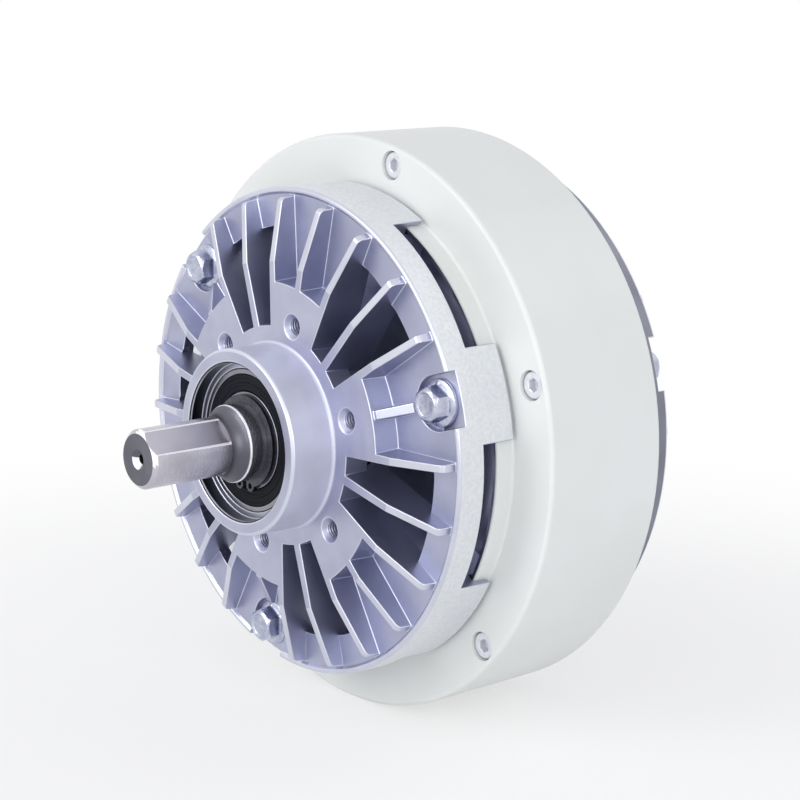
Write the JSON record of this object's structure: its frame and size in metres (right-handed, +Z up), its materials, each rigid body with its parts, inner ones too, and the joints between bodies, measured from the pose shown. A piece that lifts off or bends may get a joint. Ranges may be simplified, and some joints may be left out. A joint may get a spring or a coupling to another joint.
{
  "type": "magnetic powder brake",
  "caption": "Round single-shaft magnetic powder brake: painted steel housing, finned cast brackets with a locating hub and mounting holes, and an output shaft with a flat.",
  "frame": {"origin": "centre of the mounting face, where the shaft's axis crosses it", "axes": "-Y along the shaft, out of the mounting face; +Z up; +X to the right when the shaft is seen end on"},
  "size_m": [0.152, 0.1235, 0.152],
  "materials": {
    "cast_aluminium": "as cast, satin",
    "turned_aluminium": "turned",
    "housing_paint": "semi-gloss off-white enamel",
    "bobbin_plastic": "moulded",
    "copper_winding": "enamelled wire",
    "pole_steel": "turned",
    "brass": "turned",
    "iron_powder": "fine powder",
    "seal_rubber": "moulded",
    "zinc_steel": "zinc plated",
    "bearing_steel": "ground",
    "cage_plastic": "moulded",
    "shaft_steel": "ground",
    "spring_steel": "phosphated"
  },
  "bodies": {
    "stator": {"front_bracket": "cast_aluminium", "rear_bracket": "cast_aluminium", "front_yoke": "housing_paint", "rear_yoke": "housing_paint", "coil_bobbin": "bobbin_plastic", "field_coil": "copper_winding", "front_pole_ring": "pole_steel", "pole_spacer": "brass", "rear_pole_ring": "pole_steel", "magnetic_powder": "iron_powder", "front_chamber_plate": "turned_aluminium", "rear_chamber_plate": "turned_aluminium", "front_powder_seal": "seal_rubber", "rear_powder_seal": "seal_rubber", "front_plate_screws": "zinc_steel", "rear_plate_screws": "zinc_steel", "yoke_screws": "zinc_steel", "front_bracket_bolts": "zinc_steel", "rear_bracket_bolts": "zinc_steel", "front_bearing_outer_ring": "bearing_steel", "front_bearing_seals": "seal_rubber", "rear_bearing_outer_ring": "bearing_steel", "rear_bearing_seals": "seal_rubber", "rear_cap": "turned_aluminium", "rear_cap_screws": "zinc_steel", "lead_grommet": "seal_rubber"},
    "rotor": {"shaft": "shaft_steel", "rotor_hub": "turned_aluminium", "rotor_ring": "pole_steel", "rotor_screws": "zinc_steel", "rotor_key": "shaft_steel", "rotor_circlip": "spring_steel", "front_shaft_circlip": "spring_steel", "rear_shaft_circlip": "spring_steel", "front_bearing_inner_ring": "bearing_steel", "rear_bearing_inner_ring": "bearing_steel"},
    "front_cage": {"front_bearing_cage": "cage_plastic", "front_bearing_balls": "bearing_steel"},
    "rear_cage": {"rear_bearing_cage": "cage_plastic", "rear_bearing_balls": "bearing_steel"}
  },
  "joints": [
    {"name": "shaft_spin", "type": "hinge", "parent": "stator", "child": "rotor", "pos_m": [0, 0, 0], "axis": [0, -1, 0], "continuous": true},
    {"name": "front_cage_spin", "type": "hinge", "parent": "stator", "child": "front_cage", "pos_m": [0, 0, 0], "axis": [0, -1, 0], "continuous": true},
    {"name": "rear_cage_spin", "type": "hinge", "parent": "stator", "child": "rear_cage", "pos_m": [0, 0, 0], "axis": [0, -1, 0], "continuous": true}
  ],
  "couplings": [
    {"joint": "front_cage_spin", "follows": "shaft_spin", "ratio": 0.41649},
    {"joint": "rear_cage_spin", "follows": "shaft_spin", "ratio": 0.41649}
  ]
}
